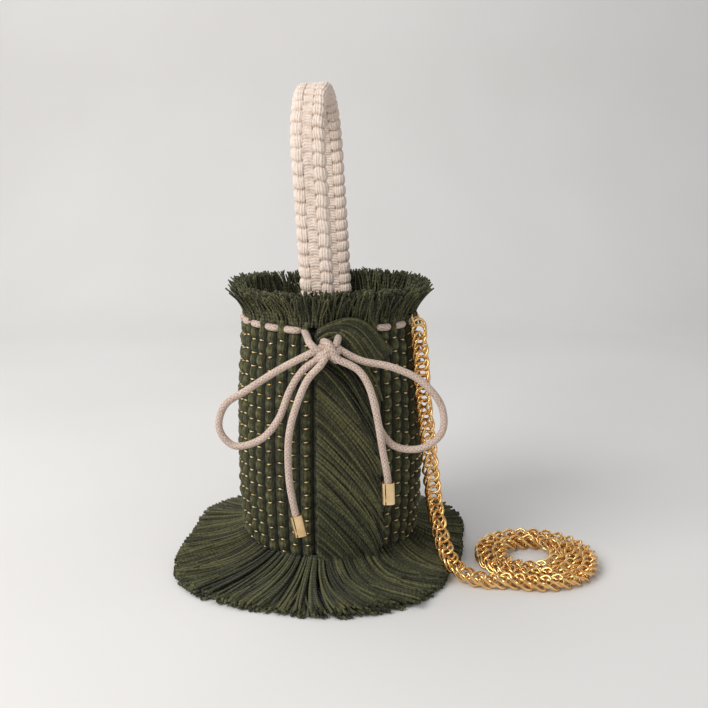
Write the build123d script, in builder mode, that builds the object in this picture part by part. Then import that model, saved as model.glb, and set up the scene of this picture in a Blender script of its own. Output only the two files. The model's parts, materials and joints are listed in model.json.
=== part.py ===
"""Woven bucket bag with a knotted handle, a bow drawstring and a curb-chain strap.

Millimetres. +Z is up, the front faces -Y and +X is to the right.
The origin is the centre of the base on the floor.
An azimuth is measured from the front (-Y) towards the right (+X).
"""
import os
from math import cos, exp, pi, radians, sin, sqrt, tau

from build123d import *

os.makedirs("parts", exist_ok=True)

# Woven body
BODY_RADIUS = 77.5
BODY_BOTTOM = 4.2
BODY_TOP = 212.0
BELLY_HEIGHT = 88.0
NECK_NARROWING = 7.0
BASE_TUCK = 8.0
TUCK_HEIGHT = 14.0
WALL = 7.0
GAP = 0.15
PROFILE_STEPS = 8

# Gold thread rows
ROW_PITCH = 10.8
FIRST_ROW = 19.0
ROW_COUNT = 17
THREAD_RADIUS = 0.4
THREAD_STANDOFF = 0.6

# Drawstring, bow and tips
CORD_RADIUS = 2.75
NECK_HEIGHT = 203.0
CHANNEL_RADIUS = 67.4
CHANNEL_BORE = 3.05
WINDOW_COUNT = 24
WINDOW_WIDTH = 10.5
KNOT_X = 0.8
KNOT_HEIGHT = 190.8
KNOT_RADIUS = 7.4
LOOP_FRONT = 87.2
TAIL_FRONT = 93.9
TIP_LENGTH = 17.0
TIP_WIDTH = 9.7
TIP_DEPTH = 7.2
TIP_SHEET = 0.7

# Fringes
FRINGE_START = BODY_TOP + 0.4
SKIRT_BOTTOM = 0.4
SKIRT_THICKNESS = 3.4
SKIRT_INNER_RADIUS = 69.4
FRONT_FRINGE_AZIMUTH = -7.0
FRONT_FRINGE_SWEEP = 41.0
FRONT_FRINGE_BOTTOM = 16.0
FRONT_FRINGE_TOP = 188.5
FRONT_FRINGE_STANDOFF = 1.5
FRONT_FRINGE_DEPTH = 5.0

# Base and lining
BASE_RADIUS = 67.8
BASE_THICKNESS = 4.0
STIFFENER_RADIUS = 61.4
STIFFENER_BOTTOM = 4.3
STIFFENER_THICKNESS = 2.0
LINING_BOTTOM = 6.5
LINING_GAP = 0.35
LINING_THICKNESS = 1.0
LINING_TOP = 195.8
BINDING_TOP = 211.8
BINDING_THICKNESS = 1.1

# Handle
HANDLE_WIDTH = 25.0
HANDLE_THICKNESS = 9.0
HANDLE_HALF_SPAN = 55.5
HANDLE_PIVOT_HEIGHT = 216.0
HANDLE_TOP = 389.0
HANDLE_TURN = 6.0
HANDLE_LEAN = 3.3
HANDLE_X = -1.0
FILLER_CORD_RADIUS = 2.2
FILLER_CORD_PITCH = 4.9
HANDLE_END_BOTTOM = 168.0
HANDLE_END_TOP = HANDLE_PIVOT_HEIGHT - 9.6
HANDLE_END_INNER = 54.6
HANDLE_END_CUP = HANDLE_WIDTH / 2 + 0.6

# Side rings
RING_AZIMUTH_RIGHT = 63.0
RING_AZIMUTH_LEFT = 243.0
RING_RADIUS = 76.2
RING_HEIGHT = 209.8
RING_DROP = 8.8
RING_LEAN = 3.7
RING_WIDTH = 12.0
RING_WIRE = 1.0
RING_CORNER = 3.0
TAB_WIDTH = 5.2
TAB_RADIUS = 2.0
TAB_BORE = 1.25

# Curb chain
LINK_HALF_LENGTH = 7.2
LINK_HALF_WIDTH = 5.6
LINK_TWIST = 3.7
LINK_WIRE = 0.77
LINK_OFFSET = 1.25
LINK_PITCH = 10.3
LINK_PLAY = 0.2
COIL_CENTRE = (168.6, -39.7)
COIL_RADIUS = 51.2
COIL_START = -110.0
COIL_SPACING = 13.7
COIL_LINKS = 52
CHAIN_FLOOR = 5.2
UPPER_LINKS = 9
LOWER_LINKS = 14

# Spring clip at the free end of the chain
END_RING_RADIUS = 5.0
END_RING_WIRE = 0.8
CLIP_RADIUS = 8.3
CLIP_WIRE = 1.2
END_RING_TURN = 13.6
END_RING_RISE = 7.48
END_RING_ROLL = 246.27
END_RING_PLAY = 0.751
CLIP_BEND = -8.32
CLIP_ROLL = 174.44
CLIP_PLAY = 0.822
GATE_START = 20.0
GATE_ROOT = 14.0
GATE_SWEEP = 66.0
GATE_REACH = 9.6
NOSE_START = 80.0
NOSE_SWEEP = 24.0
NOSE_GAP = 0.15
GATE_TONGUE = 1.3
GATE_TONGUE_THICKNESS = 1.2
CHEEK_THICKNESS = 0.6
CHEEK_RADIUS = 1.5
PIN_RADIUS = 0.4
PIN_CLEARANCE = 0.08


def body_radius(height):
    """Outer radius of the woven wall: a barrel that tucks in quickly at the base."""
    narrowing = NECK_NARROWING * ((height - BELLY_HEIGHT) / (BODY_TOP - BELLY_HEIGHT)) ** 2
    return BODY_RADIUS - narrowing - BASE_TUCK * exp(-height / TUCK_HEIGHT)


def radial(azimuth):
    """Outward horizontal direction at an azimuth."""
    return Vector(sin(radians(azimuth)), -cos(radians(azimuth)), 0)


def tangent(azimuth):
    """Horizontal direction along the wall at an azimuth."""
    return Vector(cos(radians(azimuth)), sin(radians(azimuth)), 0)


def wall_points(bottom, top, gap):
    """Points up a curve that runs at a fixed gap from the outer face of the body wall."""
    levels = [bottom + (top - bottom) * step / PROFILE_STEPS for step in range(PROFILE_STEPS + 1)]
    return [(body_radius(level) + gap, level) for level in levels]


def wall_outline(bottom, top, inner_gap, outer_gap):
    """Closed outline of a shell that follows the body wall."""
    outer = wall_points(bottom, top, outer_gap)
    inner = wall_points(bottom, top, inner_gap)
    with BuildLine() as outline:
        Spline(*outer)
        Line(outer[-1], inner[-1])
        Spline(*reversed(inner))
        Line(inner[0], outer[0])
    return outline.edges()


def round_section(path, radius):
    """Round section of a cord or wire, across the start of its path."""
    with BuildSketch(Plane(origin=path @ 0, z_dir=path % 0)) as section:
        Circle(radius)
    return section.sketch


def save(name, part):
    """Label one sub-part and write it under its node name."""
    part.label = name
    export_step(part, f"parts/{name}.step")


# ---------------------------------------------------------------- body

with BuildPart() as woven_body:
    with BuildSketch(Plane.XZ):
        make_face(wall_outline(BODY_BOTTOM, BODY_TOP, -WALL, 0))
    revolve(axis=Axis.Z)
    # Channel of the drawstring inside the wall
    with BuildSketch(Plane.XZ):
        with Locations((CHANNEL_RADIUS, NECK_HEIGHT)):
            Circle(CHANNEL_BORE)
    revolve(axis=Axis.Z, mode=Mode.SUBTRACT)
    # Windows where the cord shows between the woven columns
    with Locations((0, 0, NECK_HEIGHT)):
        with PolarLocations(CHANNEL_RADIUS + WALL / 2, WINDOW_COUNT, 360 / WINDOW_COUNT / 2):
            Box(WALL, WINDOW_WIDTH, 2 * CHANNEL_BORE, mode=Mode.SUBTRACT)
    # Front opening where both cord ends come out to the knot
    with Locations((-2.5, -CHANNEL_RADIUS - WALL + 0.5, NECK_HEIGHT - 4)):
        Box(37, 2 * WALL + 4, 17, mode=Mode.SUBTRACT)
save("woven_body", woven_body.part)

with BuildPart() as gold_thread:
    for row in range(ROW_COUNT):
        height = FIRST_ROW + row * ROW_PITCH
        with BuildSketch(Plane.XZ):
            with Locations((body_radius(height) + THREAD_STANDOFF, height)):
                Circle(THREAD_RADIUS)
        revolve(axis=Axis.Z)
save("gold_thread", gold_thread.part)

with BuildPart() as base_panel:
    with BuildSketch(Plane.XY):
        Circle(BASE_RADIUS)
    extrude(amount=BASE_THICKNESS)
    fillet(base_panel.edges().sort_by(Axis.Z)[0], radius=1.5)
save("base_panel", base_panel.part)

with BuildPart() as base_stiffener:
    with BuildSketch(Plane.XY.offset(STIFFENER_BOTTOM)):
        Circle(STIFFENER_RADIUS)
    extrude(amount=STIFFENER_THICKNESS)
save("base_stiffener", base_stiffener.part)

with BuildPart() as lining:
    with BuildSketch(Plane.XZ):
        make_face(wall_outline(LINING_BOTTOM, LINING_TOP, -WALL - LINING_GAP - LINING_THICKNESS, -WALL - LINING_GAP))
    revolve(axis=Axis.Z)
    with BuildSketch(Plane.XY.offset(LINING_BOTTOM)):
        Circle(body_radius(LINING_BOTTOM) - WALL - LINING_GAP)
    extrude(amount=LINING_THICKNESS)
save("lining", lining.part)

with BuildPart() as rim_binding:
    with BuildSketch(Plane.XZ):
        make_face(wall_outline(LINING_TOP + GAP, BINDING_TOP, -WALL - GAP - BINDING_THICKNESS, -WALL - GAP))
    revolve(axis=Axis.Z)
save("rim_binding", rim_binding.part)

# ---------------------------------------------------------------- fringes

with BuildPart() as top_fringe:
    with BuildSketch(Plane.XZ):
        with BuildLine():
            outer = Spline((71, FRINGE_START), (76.5, 219), (85.5, 231.5))
            tip = Spline(outer @ 1, (83, 235), (78.5, 234.5))
            inner = Spline(tip @ 1, (70, 221), (66, FRINGE_START))
            Line(inner @ 1, outer @ 0)
        make_face()
    revolve(axis=Axis.Z)
save("top_fringe", top_fringe.part)

with BuildPart() as base_fringe:
    with BuildSketch(Plane.XY.offset(SKIRT_BOTTOM)):
        with BuildLine():
            Spline(
                (117, 20), (104, 84), (10, 122), (-100, 98), (-126, -12), (-117, -88),
                (-48, -131), (34, -136), (82, -100), (101, -60), (114, -25),
                periodic=True,
            )
        make_face()
        Circle(SKIRT_INNER_RADIUS, mode=Mode.SUBTRACT)
    extrude(amount=SKIRT_THICKNESS)
    # Roll of yarn where the strands leave the body
    with BuildSketch(Plane.XZ):
        with BuildLine():
            Polyline(
                (SKIRT_INNER_RADIUS, 2), (SKIRT_INNER_RADIUS, 4.5), (70.8, 8.5), (72.7, 13.5),
                (77, 11), (90, SKIRT_BOTTOM + SKIRT_THICKNESS), (90, 2), close=True,
            )
        make_face()
    revolve(axis=Axis.Z)
save("base_fringe", base_fringe.part)

with BuildPart() as front_fringe:
    start = radial(FRONT_FRINGE_AZIMUTH)
    with BuildSketch(Plane(origin=(0, 0, 0), x_dir=start, z_dir=start.cross(Vector(0, 0, 1)))):
        make_face(
            wall_outline(
                FRONT_FRINGE_BOTTOM, FRONT_FRINGE_TOP,
                FRONT_FRINGE_STANDOFF, FRONT_FRINGE_STANDOFF + FRONT_FRINGE_DEPTH,
            )
        )
    revolve(axis=Axis.Z, revolution_arc=FRONT_FRINGE_SWEEP)
save("front_fringe", front_fringe.part)

# ---------------------------------------------------------------- drawstring and bow

with BuildPart() as drawstring:
    right_end = -80.0
    left_end = 255.0
    with BuildLine() as lace:
        around = CenterArc((0, 0, NECK_HEIGHT), CHANNEL_RADIUS, right_end, left_end - right_end)
        Spline(
            (5.6, -79.6, 193.2), around @ 0,
            tangents=[(0.3, 0.9, 0.35), around % 0],
        )
        Spline(
            around @ 1, (-4.2, -79.6, 193.2),
            tangents=[around % 1, (0.3, -0.9, -0.35)],
        )
    sweep(sections=round_section(lace.wire(), CORD_RADIUS), path=lace.wire())
save("drawstring", drawstring.part)

with BuildPart() as bow_knot:
    with BuildSketch(Plane.XZ.offset(80)):
        with Locations((KNOT_X, KNOT_HEIGHT)):
            Circle(KNOT_RADIUS)
    extrude(amount=TAIL_FRONT - 80.8)
    fillet(bow_knot.edges().filter_by(GeomType.CIRCLE), radius=2.5)
    # Band of cord wrapped up and over the front of the knot
    with BuildSketch(Plane.XZ.offset(TAIL_FRONT - 3.3)):
        with Locations((KNOT_X, KNOT_HEIGHT)):
            SlotOverall(22, 9, rotation=90)
    extrude(amount=6.3)
    fillet(bow_knot.edges().group_by(Axis.Y)[0], radius=3)
save("bow_knot", bow_knot.part)

with BuildPart() as bow_loop_left:
    with BuildLine(Plane.XZ.offset(LOOP_FRONT)):
        loop = Spline(
            (-7.8, 191.8), (-34.9, 177), (-59.1, 161.4), (-77.4, 148.4), (-81.7, 130), (-71, 117.2),
            (-51, 121.8), (-37.1, 137.6), (-27.7, 160.8), (-17.5, 176.5), (-7.4, 184.6),
        )
    sweep(sections=round_section(loop, CORD_RADIUS), path=loop)
save("bow_loop_left", bow_loop_left.part)

with BuildPart() as bow_loop_right:
    with BuildLine(Plane.XZ.offset(LOOP_FRONT)):
        loop = Spline(
            (10.4, 192), (24.7, 183.8), (48.6, 178.4), (71.1, 167.3), (86.5, 147.5), (86.9, 127.5),
            (71.9, 115.2), (52.1, 116.4), (40.6, 129.1), (35.2, 152.6), (25.5, 174), (10, 184.2),
        )
    sweep(sections=round_section(loop, CORD_RADIUS), path=loop)
save("bow_loop_right", bow_loop_right.part)

with BuildPart() as bow_tail_left:
    with BuildLine(Plane.XZ.offset(TAIL_FRONT)):
        tail = Spline(
            (-5.6, 180.2), (-14, 170.5), (-23.2, 149), (-28.8, 125.6), (-28.8, 90.7),
            (-25, 67.5), (-22, 54),
        )
    sweep(sections=round_section(tail, CORD_RADIUS), path=tail)
save("bow_tail_left", bow_tail_left.part)

with BuildPart() as bow_tail_right:
    with BuildLine(Plane.XZ.offset(TAIL_FRONT)):
        tail = Spline(
            (11.2, 184.4), (23, 178), (30.6, 167), (36.7, 145.9), (42.1, 114.6), (45.9, 93), (46.6, 80),
        )
    sweep(sections=round_section(tail, CORD_RADIUS), path=tail)
save("bow_tail_right", bow_tail_right.part)


def crimp_tip(top_x, top_z, direction):
    """Cord end of folded sheet metal: a flat tube with its seam open along one side."""
    mouth = Plane(origin=(top_x, -TAIL_FRONT, top_z), x_dir=(0, -1, 0), z_dir=direction)
    with BuildPart() as tip:
        with BuildSketch(mouth):
            RectangleRounded(TIP_DEPTH, TIP_WIDTH, 3)
            RectangleRounded(TIP_DEPTH - 2 * TIP_SHEET, TIP_WIDTH - 2 * TIP_SHEET, 2.3, mode=Mode.SUBTRACT)
            with Locations((TIP_DEPTH / 2, 2.2)):
                Rectangle(2 * TIP_SHEET + 1, 0.9, mode=Mode.SUBTRACT)
        extrude(amount=TIP_LENGTH)
    return tip.part


save("cord_tip_left", crimp_tip(-24.2, 63.6, (0.22, 0, -0.975)))
save("cord_tip_right", crimp_tip(46.1, 90.1, (0.04, 0, -1)))

# ---------------------------------------------------------------- handle

span_dir = Vector(sin(radians(HANDLE_TURN)), cos(radians(HANDLE_TURN)), 0)
side_dir = Vector(cos(radians(HANDLE_TURN)), -sin(radians(HANDLE_TURN)), 0)
rise_dir = Vector(0, 0, 1) * cos(radians(HANDLE_LEAN)) - side_dir * sin(radians(HANDLE_LEAN))
pivot_centre = Vector(HANDLE_X, 0, HANDLE_PIVOT_HEIGHT)
handle_plane = Plane(origin=pivot_centre, x_dir=span_dir, z_dir=span_dir.cross(rise_dir))
leg_length = HANDLE_TOP - HANDLE_PIVOT_HEIGHT - HANDLE_HALF_SPAN - HANDLE_THICKNESS / 2


def handle_arch(start):
    """Path of the arch: up the front leg, over the top and down the back leg."""
    with BuildLine(handle_plane) as arch:
        Line((-HANDLE_HALF_SPAN, start), (-HANDLE_HALF_SPAN, leg_length))
        CenterArc((0, leg_length), HANDLE_HALF_SPAN, 180, -180)
        Line((HANDLE_HALF_SPAN, leg_length), (HANDLE_HALF_SPAN, start))
    return arch.wire()


def leg_section(start):
    """Plane across the front leg, with X through its thickness."""
    foot = pivot_centre - span_dir * HANDLE_HALF_SPAN + rise_dir * start
    return Plane(origin=foot, x_dir=span_dir, z_dir=rise_dir)


with BuildPart() as handle_sinnet:
    with BuildSketch(leg_section(0)):
        RectangleRounded(HANDLE_THICKNESS, HANDLE_WIDTH, 3.5)
    sweep(path=handle_arch(0))
    # Rounded stitched end of each leg, centred on the swing axis
    for side in (-1, 1):
        foot = pivot_centre + span_dir * side * HANDLE_HALF_SPAN
        with BuildSketch(Plane(origin=foot, z_dir=span_dir)):
            Circle(HANDLE_WIDTH / 2)
        extrude(amount=HANDLE_THICKNESS / 2, both=True)
    with BuildSketch(leg_section(1)):
        RectangleRounded(2 * FILLER_CORD_RADIUS + 0.5, 4 * FILLER_CORD_PITCH + 0.4, 1.5)
    sweep(path=handle_arch(1), mode=Mode.SUBTRACT)
save("handle_sinnet", handle_sinnet.part)

with BuildPart() as handle_filler_cords:
    with BuildSketch(leg_section(1.2)):
        with GridLocations(0, FILLER_CORD_PITCH, 1, 4):
            Circle(FILLER_CORD_RADIUS)
    sweep(path=handle_arch(1.2))
save("handle_filler_cords", handle_filler_cords.part)


def handle_end(side):
    """Sewn end of one leg: a block against the lining, cupped under the swinging leg."""
    height = HANDLE_END_TOP - HANDLE_END_BOTTOM
    foot = Vector(HANDLE_X, 0, HANDLE_END_BOTTOM) + span_dir * side * (HANDLE_END_INNER + 8)
    inside = wall_points(HANDLE_END_BOTTOM, HANDLE_END_TOP, -WALL - 2 * GAP - BINDING_THICKNESS)
    with BuildPart() as end:
        with BuildSketch(Plane(origin=foot, x_dir=span_dir, z_dir=(0, 0, 1))):
            Rectangle(16, HANDLE_WIDTH)
        extrude(amount=height)
        with BuildSketch(Plane(origin=pivot_centre, z_dir=span_dir * side)):
            Circle(HANDLE_END_CUP)
        extrude(amount=BODY_RADIUS, mode=Mode.SUBTRACT)
        # Trim to the inside of the lining and the binding
        with BuildSketch(Plane.XZ):
            with BuildLine():
                Spline(*inside)
                Polyline(inside[-1], (0, HANDLE_END_TOP), (0, HANDLE_END_BOTTOM), inside[0])
            make_face()
        revolve(axis=Axis.Z, mode=Mode.INTERSECT)
    return end.part


save("handle_end_front", handle_end(-1))
save("handle_end_back", handle_end(1))

# ---------------------------------------------------------------- side rings


def ring_tab(azimuth):
    """Folded tab sewn to the rim, with a bore for the top bar of its ring."""
    bar = radial(azimuth) * RING_RADIUS + Vector(0, 0, RING_HEIGHT)
    reach = RING_RADIUS - body_radius(RING_HEIGHT) - 2 * GAP
    with BuildPart() as tab:
        with BuildSketch(Plane(origin=bar, x_dir=radial(azimuth), z_dir=tangent(azimuth))):
            Circle(TAB_RADIUS)
            with Locations((-reach / 2, 0)):
                Rectangle(reach, 2 * TAB_RADIUS)
            Circle(TAB_BORE, mode=Mode.SUBTRACT)
        extrude(amount=TAB_WIDTH / 2, both=True)
    return tab.part


def side_ring(azimuth):
    """Rectangular wire ring that hangs by its top bar."""
    top = radial(azimuth) * RING_RADIUS + Vector(0, 0, RING_HEIGHT)
    drop = radial(azimuth) * RING_LEAN + Vector(0, 0, -RING_DROP)
    along = tangent(azimuth)
    flat = Plane(origin=top + drop / 2, x_dir=along, z_dir=drop.cross(along))
    with BuildSketch(flat) as window:
        RectangleRounded(RING_WIDTH, drop.length, RING_CORNER)
    outline = window.sketch.face().outer_wire()
    with BuildPart() as ring:
        sweep(sections=round_section(outline, RING_WIRE), path=outline)
    return ring.part


save("ring_tab_right", ring_tab(RING_AZIMUTH_RIGHT))
save("ring_tab_left", ring_tab(RING_AZIMUTH_LEFT))
save("side_ring_right", side_ring(RING_AZIMUTH_RIGHT))
save("side_ring_left", side_ring(RING_AZIMUTH_LEFT))

# ---------------------------------------------------------------- chain


def arc_joint(start, start_dir, end, end_dir):
    """Point where two arcs meet smoothly between two points with given directions."""
    gap = end - start
    turn = start_dir + end_dir
    a = turn.dot(turn) - 4
    b = gap.dot(turn)
    reach = (b - sqrt(b * b - a * gap.dot(gap))) / a
    if reach < 0:
        reach = (b + sqrt(b * b - a * gap.dot(gap))) / a
    return (start + start_dir * reach + end - end_dir * reach) / 2


# One twisted curb link: a quarter of round wire along two arcs, turned into four quarters
tip_dir = Vector(0, LINK_HALF_WIDTH, 2 * LINK_TWIST).normalized()
flank_dir = Vector(-LINK_HALF_LENGTH, 0, -2 * LINK_TWIST).normalized()
link_tip = Vector(LINK_HALF_LENGTH, 0, 0)
link_flank = Vector(0, LINK_HALF_WIDTH, 0)

with BuildPart() as quarter_link:
    with BuildLine():
        bend = arc_joint(link_tip, tip_dir, link_flank, flank_dir)
        tip_arc = TangentArc(link_tip, bend, tangent=tip_dir)
        flank_arc = TangentArc(bend, link_flank, tangent=tip_arc % 1)
    for arc in (tip_arc, flank_arc):
        sweep(sections=round_section(arc, LINK_WIRE), path=arc)

with BuildPart() as curb_link:
    add(quarter_link.part)
    for axis in (Axis.X, Axis.Y, Axis.Z):
        add(quarter_link.part.rotate(axis, 180))

bar_top = radial(RING_AZIMUTH_RIGHT) * (RING_RADIUS + RING_LEAN) + Vector(0, 0, RING_HEIGHT - RING_DROP)
coil_start = radians(COIL_START)
coil_entry = Vector(
    COIL_CENTRE[0] + COIL_RADIUS * cos(coil_start), COIL_CENTRE[1] + COIL_RADIUS * sin(coil_start), CHAIN_FLOOR
)
hang = Edge.make_spline(
    [
        bar_top, Vector(74.6, -37, 160), Vector(80, -40, 107), Vector(84.8, -44, 65), Vector(89.6, -50, 35),
        Vector(95.5, -60, 17), Vector(105.5, -76, 8.9), Vector(121, -84.5, 5.7), coil_entry,
    ],
    tangents=[Vector(0.1, -0.04, -1), Vector(-sin(coil_start), cos(coil_start), 0)],
    scale=True,
)


def chain_point(distance):
    """Centre line of the chain: down from the ring, across the floor, then round the flat coil."""
    if distance <= hang.length:
        return hang @ (distance / hang.length)
    spacing = COIL_SPACING / tau
    along = distance - hang.length
    turn = (COIL_RADIUS - sqrt(COIL_RADIUS * COIL_RADIUS - 2 * spacing * along)) / spacing
    radius = COIL_RADIUS - spacing * turn
    angle = coil_start + turn
    return Vector(COIL_CENTRE[0] + radius * cos(angle), COIL_CENTRE[1] + radius * sin(angle), CHAIN_FLOOR)


def link_plane(distance):
    """Plane of one pair of links: X along the chain, Z out of its flat side."""
    along = (chain_point(distance + 1) - chain_point(distance - 1)).normalized()
    ease = min(1, distance / (hang.length * 0.75))
    facing = radial(RING_AZIMUTH_RIGHT - 90 + 57 * ease)
    level = sqrt(max(0, 1 - along.Z * along.Z))
    face = facing * max(0, -along.Z) + Vector(0, 0, 1) * level
    face = face - along * face.dot(along)
    return Plane(origin=chain_point(distance), x_dir=along, z_dir=face.normalized())


def chain_links(first, count):
    """A run of paired links, each link a separate solid."""
    solids = []
    hook = LINK_HALF_LENGTH - LINK_WIRE - RING_WIRE - LINK_PLAY
    for index in range(first, first + count):
        plane = link_plane(hook + index * LINK_PITCH)
        for side in (-1, 1):
            seat = plane.offset(side * LINK_OFFSET)
            solids.append(curb_link.part.solid().moved(seat.location))
    return solids


chain_upper = Compound(children=chain_links(0, UPPER_LINKS))
save("chain_upper", chain_upper)

chain_lower = Compound(children=chain_links(UPPER_LINKS, LOWER_LINKS))
save("chain_lower", chain_lower)

chain_coil = Compound(children=chain_links(UPPER_LINKS + LOWER_LINKS, COIL_LINKS))
save("chain_coil", chain_coil)

# ---------------------------------------------------------------- spring clip

def rolled_side(direction, roll):
    """Direction at right angles to another one, rolled about it from the horizontal."""
    level = direction.cross(Vector(0, 0, 1)).normalized()
    return level * cos(radians(roll)) + level.cross(direction) * sin(radians(roll))


last_link = link_plane(
    LINK_HALF_LENGTH - LINK_WIRE - RING_WIRE - LINK_PLAY
    + (UPPER_LINKS + LOWER_LINKS + COIL_LINKS - 1) * LINK_PITCH
)
end_dir = (
    (last_link.x_dir * cos(radians(END_RING_TURN)) + last_link.y_dir * sin(radians(END_RING_TURN)))
    * cos(radians(END_RING_RISE))
    + last_link.z_dir * sin(radians(END_RING_RISE))
)
end_side = rolled_side(end_dir, END_RING_ROLL)
end_reach = LINK_HALF_LENGTH - LINK_WIRE - END_RING_WIRE + END_RING_RADIUS - END_RING_PLAY
end_centre = last_link.origin + end_dir * end_reach

with BuildPart() as end_ring:
    with BuildLine(Plane(origin=end_centre, x_dir=end_dir, z_dir=end_dir.cross(end_side))):
        circle_path = CenterArc((0, 0), END_RING_RADIUS, 0, 360)
    sweep(sections=round_section(circle_path, END_RING_WIRE), path=circle_path)
save("end_ring", end_ring.part)

clip_dir = end_dir * cos(radians(CLIP_BEND)) + end_side * sin(radians(CLIP_BEND))
clip_side = rolled_side(clip_dir, CLIP_ROLL)
clip_reach = END_RING_RADIUS - END_RING_WIRE - CLIP_WIRE - CLIP_PLAY + CLIP_RADIUS
clip_plane = Plane(
    origin=end_centre + clip_dir * clip_reach, x_dir=clip_dir, z_dir=clip_dir.cross(clip_side)
)
pivot_x = CLIP_RADIUS * cos(radians(GATE_START))
pivot_y = CLIP_RADIUS * sin(radians(GATE_START))
cheek_seat = GATE_TONGUE_THICKNESS / 2 + GAP

nose_end = NOSE_START + NOSE_SWEEP

with BuildPart() as clip_ring:
    with BuildLine(clip_plane):
        nose_arc = CenterArc((0, 0), CLIP_RADIUS, NOSE_START, NOSE_SWEEP)
    sweep(sections=round_section(nose_arc, CLIP_WIRE), path=nose_arc)
    # The nose is cut round about the pivot, so that the gate's end swings past it
    with BuildSketch(clip_plane):
        with Locations((pivot_x, pivot_y)):
            Circle(GATE_REACH + NOSE_GAP)
    extrude(amount=2 * CLIP_WIRE, both=True, mode=Mode.SUBTRACT)
    with BuildLine(clip_plane):
        body_arc = CenterArc((0, 0), CLIP_RADIUS, nose_end, 360 + GATE_START - nose_end)
    sweep(sections=round_section(body_arc, CLIP_WIRE), path=body_arc)
    with BuildSketch(clip_plane.offset(-cheek_seat)):
        with Locations((pivot_x, pivot_y)):
            Circle(GATE_TONGUE + GAP)
    extrude(amount=2 * cheek_seat, mode=Mode.SUBTRACT)
    for seat in (clip_plane.offset(cheek_seat), clip_plane.offset(-cheek_seat - CHEEK_THICKNESS)):
        with BuildSketch(seat):
            with Locations((pivot_x, pivot_y)):
                Circle(CHEEK_RADIUS)
        extrude(amount=CHEEK_THICKNESS)
    with BuildSketch(clip_plane):
        with Locations((pivot_x, pivot_y)):
            Circle(PIN_RADIUS + PIN_CLEARANCE)
    extrude(amount=3 * CLIP_WIRE, both=True, mode=Mode.SUBTRACT)
save("clip_ring", clip_ring.part)

with BuildPart() as clip_gate:
    with BuildLine(clip_plane):
        gate_arc = CenterArc((0, 0), CLIP_RADIUS, GATE_START + GATE_ROOT, GATE_SWEEP)
    sweep(sections=round_section(gate_arc, CLIP_WIRE), path=gate_arc)
    with BuildSketch(clip_plane):
        with Locations((pivot_x, pivot_y)):
            Circle(GATE_REACH)
    extrude(amount=2 * CLIP_WIRE, both=True, mode=Mode.INTERSECT)
    with BuildSketch(clip_plane.offset(-GATE_TONGUE_THICKNESS / 2)):
        with Locations((pivot_x, pivot_y)):
            Circle(GATE_TONGUE)
        with BuildLine():
            neck = CenterArc((0, 0), CLIP_RADIUS, GATE_START, GATE_ROOT + 2)
        trace(neck, line_width=2 * GATE_TONGUE - 0.6)
        with Locations((pivot_x, pivot_y)):
            Circle(PIN_RADIUS + PIN_CLEARANCE, mode=Mode.SUBTRACT)
    extrude(amount=GATE_TONGUE_THICKNESS)
save("clip_gate", clip_gate.part)

with BuildPart() as clip_pin:
    with BuildSketch(clip_plane.offset(-cheek_seat - CHEEK_THICKNESS)):
        with Locations((pivot_x, pivot_y)):
            Circle(PIN_RADIUS)
    extrude(amount=2 * (cheek_seat + CHEEK_THICKNESS))
save("clip_pin", clip_pin.part)
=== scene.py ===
"""Looks of the woven bucket bag: yarn, fringe, knotted handle, cord, chain and studio."""
import json
import math

import bpy
import numpy as np
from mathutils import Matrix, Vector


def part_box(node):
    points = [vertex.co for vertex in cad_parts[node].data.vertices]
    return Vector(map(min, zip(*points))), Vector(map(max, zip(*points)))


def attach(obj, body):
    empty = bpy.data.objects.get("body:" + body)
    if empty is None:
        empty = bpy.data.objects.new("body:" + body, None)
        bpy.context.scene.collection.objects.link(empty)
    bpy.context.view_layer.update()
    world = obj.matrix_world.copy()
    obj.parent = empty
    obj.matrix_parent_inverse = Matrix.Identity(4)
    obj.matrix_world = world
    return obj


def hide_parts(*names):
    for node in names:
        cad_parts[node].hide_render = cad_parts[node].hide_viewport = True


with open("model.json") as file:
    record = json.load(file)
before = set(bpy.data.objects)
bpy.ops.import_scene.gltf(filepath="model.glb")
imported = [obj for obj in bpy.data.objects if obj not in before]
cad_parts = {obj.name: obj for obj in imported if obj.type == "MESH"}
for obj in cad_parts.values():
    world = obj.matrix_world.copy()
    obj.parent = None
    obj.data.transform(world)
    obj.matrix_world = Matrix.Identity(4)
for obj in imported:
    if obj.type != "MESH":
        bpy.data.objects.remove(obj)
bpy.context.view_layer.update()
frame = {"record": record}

MM = 0.001
TAU = 2 * math.pi

# ---------------------------------------------------------------- sizes, from the frame where it has them


def corners(node_name):
    """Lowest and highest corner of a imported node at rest."""
    return [np.array(corner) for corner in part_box(node_name)]


def mesh_points(node_name):
    """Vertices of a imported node."""
    mesh = bpy.data.objects[node_name].data
    spots = np.empty(len(mesh.vertices) * 3, dtype=np.float32)
    mesh.vertices.foreach_get("co", spots)
    return spots.reshape(-1, 3)


def packed_joint(joint_name):
    """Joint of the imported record, by name."""
    return next(joint for joint in frame["record"]["behaviour"]["joints"] if joint["name"] == joint_name)


body_low, body_high = corners("woven_body")
BODY_TOP = body_high[2]
BODY_RADIUS = (body_high[0] - body_low[0]) / 2
BELLY_HEIGHT = 88 * MM
NECK_NARROWING = 7 * MM
BASE_TUCK = 8 * MM
TUCK_HEIGHT = 14 * MM
WALL = 7 * MM

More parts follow.
